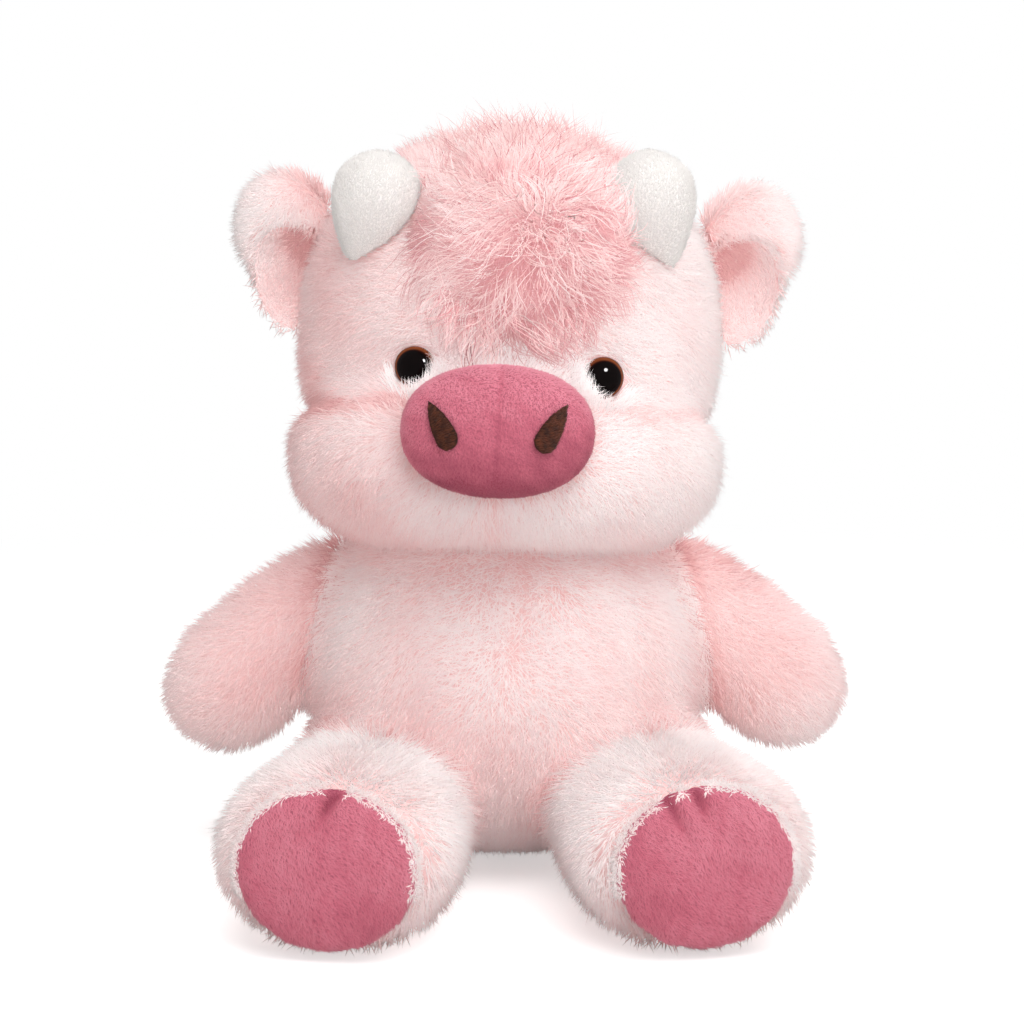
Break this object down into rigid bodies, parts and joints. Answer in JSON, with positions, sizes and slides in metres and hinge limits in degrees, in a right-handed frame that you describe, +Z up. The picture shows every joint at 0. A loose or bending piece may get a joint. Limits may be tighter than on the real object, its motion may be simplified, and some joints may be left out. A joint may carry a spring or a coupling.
{
  "type": "plush cow",
  "caption": "Sitting stuffed toy cow with a shaggy forelock, padded snout, plush horns and cupped ears, and soft sewn joints at neck, arms, legs, ears and tail.",
  "frame": {"origin": "on the flat seat under the torso, on the toy's middle plane and under the middle of the torso", "axes": "+Z up, the toy faces -Y, and its left side as seen by the viewer is -X"},
  "size_m": [0.2724, 0.2665, 0.2939],
  "materials": {
    "pale_pile": "long soft pile, pale pink",
    "pink_pile": "long soft pile, pink",
    "white_plush": "short plush, off-white",
    "rose_plush": "short velour, dusky rose",
    "thread": "satin-stitched embroidery thread, dark brown",
    "eye_plastic": "polished, brown iris and black pupil",
    "washer_plastic": "moulded",
    "fibre": "loose polyester fibre fill"
  },
  "bodies": {
    "torso": {"torso_back_panel": "pale_pile", "torso_front_left_panel": "pale_pile", "torso_front_right_panel": "pale_pile", "torso_stuffing": "fibre"},
    "neck": {"neck_stuffing": "fibre"},
    "head": {"head_cover": "pale_pile", "muzzle_left_panel": "pale_pile", "muzzle_right_panel": "pale_pile", "head_stuffing": "fibre", "snout_cover": "rose_plush", "snout_stuffing": "fibre", "left_nostril": "thread", "right_nostril": "thread", "left_eye": "eye_plastic", "right_eye": "eye_plastic", "left_eye_washer": "washer_plastic", "right_eye_washer": "washer_plastic", "forelock": "pink_pile", "left_horn_cover": "white_plush", "left_horn_stuffing": "fibre", "right_horn_cover": "white_plush", "right_horn_stuffing": "fibre"},
    "left_ear": {"left_ear_outer": "pink_pile", "left_ear_lining": "white_plush"},
    "right_ear": {"right_ear_outer": "pink_pile", "right_ear_lining": "white_plush"},
    "left_arm": {"left_arm_cover": "pink_pile", "left_arm_stuffing": "fibre"},
    "right_arm": {"right_arm_cover": "pink_pile", "right_arm_stuffing": "fibre"},
    "left_leg": {"left_leg_cover": "pale_pile", "left_leg_stuffing": "fibre", "left_foot_pad": "rose_plush"},
    "right_leg": {"right_leg_cover": "pale_pile", "right_leg_stuffing": "fibre", "right_foot_pad": "rose_plush"},
    "tail": {"tail_sleeve": "pale_pile", "tail_tuft": "pink_pile"}
  },
  "joints": [
    {"name": "head_turn", "type": "hinge", "parent": "torso", "child": "neck", "pos_m": [0, 0, 0.154], "axis": [0, 0, 1], "range_deg": [-20, 20], "stiffness_Nm_per_rad": 0.4},
    {"name": "head_nod", "type": "hinge", "parent": "neck", "child": "head", "pos_m": [0, 0, 0.154], "axis": [0.9982, -0.0523, -0.0279], "range_deg": [-8, 8], "stiffness_Nm_per_rad": 1},
    {"name": "left_ear_flap", "type": "hinge", "parent": "head", "child": "left_ear", "pos_m": [-0.06929, 0.00978, 0.24797], "axis": [-0.2483, 0.0144, 0.9686], "range_deg": [-15, 15], "stiffness_Nm_per_rad": 0.03},
    {"name": "right_ear_flap", "type": "hinge", "parent": "head", "child": "right_ear", "pos_m": [0.07855, 0.00202, 0.24384], "axis": [-0.302, 0.0144, -0.9532], "range_deg": [-15, 15], "stiffness_Nm_per_rad": 0.03},
    {"name": "left_arm_swing", "type": "hinge", "parent": "torso", "child": "left_arm", "pos_m": [-0.06893, 0.00482, 0.1123], "axis": [-0.8725, 0.061, 0.4848], "range_deg": [-30, 60], "stiffness_Nm_per_rad": 0.05},
    {"name": "right_arm_swing", "type": "hinge", "parent": "torso", "child": "right_arm", "pos_m": [0.06893, 0.00482, 0.1123], "axis": [-0.8725, -0.061, -0.4848], "range_deg": [-30, 60], "stiffness_Nm_per_rad": 0.05},
    {"name": "left_leg_lift", "type": "hinge", "parent": "torso", "child": "left_leg", "pos_m": [-0.05084, -0.05964, 0.06402], "axis": [-1, 0, 0], "range_deg": [0, 25]},
    {"name": "right_leg_lift", "type": "hinge", "parent": "torso", "child": "right_leg", "pos_m": [0.05084, -0.05964, 0.06402], "axis": [-1, 0, 0], "range_deg": [0, 25]},
    {"name": "tail_wag", "type": "hinge", "parent": "torso", "child": "tail", "pos_m": [0, 0.07823, 0.06301], "axis": [0, 0.9903, -0.1392], "range_deg": [-35, 35]}
  ]
}
